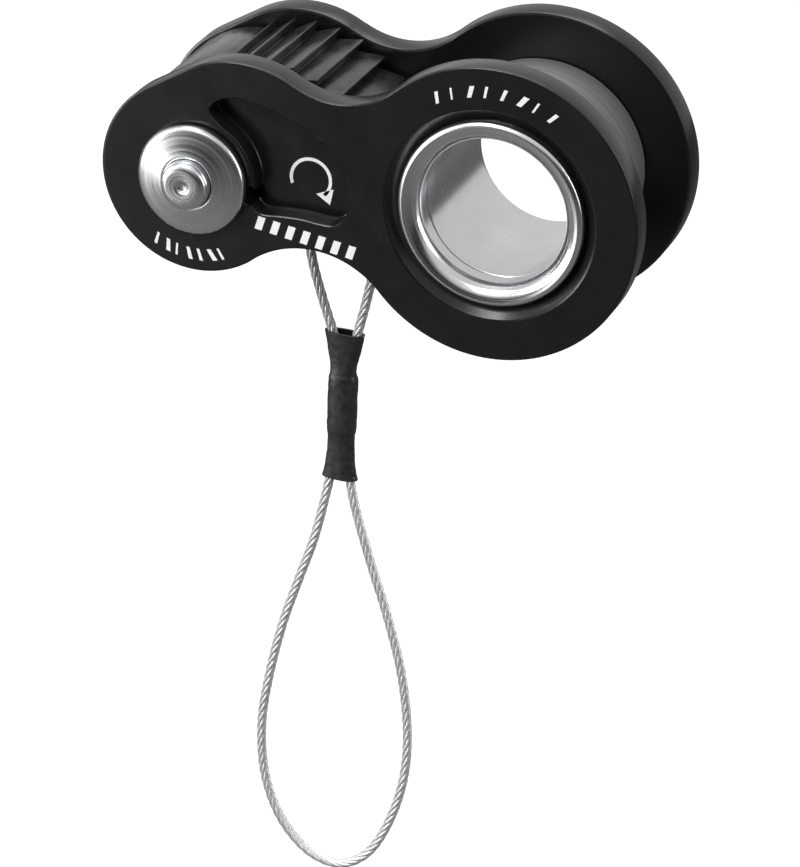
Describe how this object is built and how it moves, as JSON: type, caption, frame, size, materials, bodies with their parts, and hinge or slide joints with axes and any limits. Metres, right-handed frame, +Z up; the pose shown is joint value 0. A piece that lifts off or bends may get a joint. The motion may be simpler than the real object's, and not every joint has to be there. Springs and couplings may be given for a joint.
{
  "type": "cam rope clamp",
  "caption": "Toothed cam rope clamp with peanut-shaped side plates, a hollow turning rope drum round its eye, and a wire sling that pulls the cam open.",
  "frame": {"origin": "centre of the eye, midway between the side plates", "axes": "+X from the cam towards the eye, +Y from the front plate to the rear plate along the eye, +Z up"},
  "size_m": [0.0824, 0.0382, 0.1432],
  "materials": {
    "black_anodised": "black anodised, satin",
    "turned_steel": "turned and polished",
    "bronze": "plain bearing bronze",
    "grey_drum": "matt hard anodised",
    "cast_steel": "cast and tumbled",
    "spring_steel": "drawn wire",
    "wire_rope": "stranded",
    "shrink_tubing": "matt, slightly wrinkled"
  },
  "bodies": {
    "frame": {"rear_side_plate": "black_anodised", "eye_tube": "turned_steel", "retaining_ring": "spring_steel", "cam_axle": "turned_steel", "domed_washers": "turned_steel", "thrust_washers": "bronze", "cam_spring": "spring_steel"},
    "front_plate": {"front_side_plate": "black_anodised", "front_eyelet": "turned_steel"},
    "drum": {"drum_roller": "grey_drum", "drum_bush": "bronze"},
    "cam": {"cam": "cast_steel", "cable_pin": "turned_steel"},
    "sling": {"release_cable": "wire_rope", "cable_ferrule": "grey_drum", "heat_shrink_sleeve": "shrink_tubing"}
  },
  "joints": [
    {"name": "cam_pivot", "type": "hinge", "parent": "frame", "child": "cam", "pos_m": [-0.0454, 0, 0], "axis": [0, 1, 0], "range_deg": [0, 75], "stiffness_Nm_per_rad": 0.05, "springref_deg": -68.75, "deforming": ["cam_spring"]},
    {"name": "sling_swing", "type": "hinge", "parent": "cam", "child": "sling", "pos_m": [-0.0282, 0, -0.0058], "axis": [0, 1, 0], "range_deg": [-45, 40]},
    {"name": "side_plate_swing", "type": "hinge", "parent": "frame", "child": "front_plate", "pos_m": [-0.0454, 0, 0], "axis": [0, 1, 0], "range_deg": [-150, 150]},
    {"name": "drum_spin", "type": "hinge", "parent": "frame", "child": "drum", "pos_m": [0, 0, 0], "axis": [0, 1, 0], "continuous": true}
  ]
}
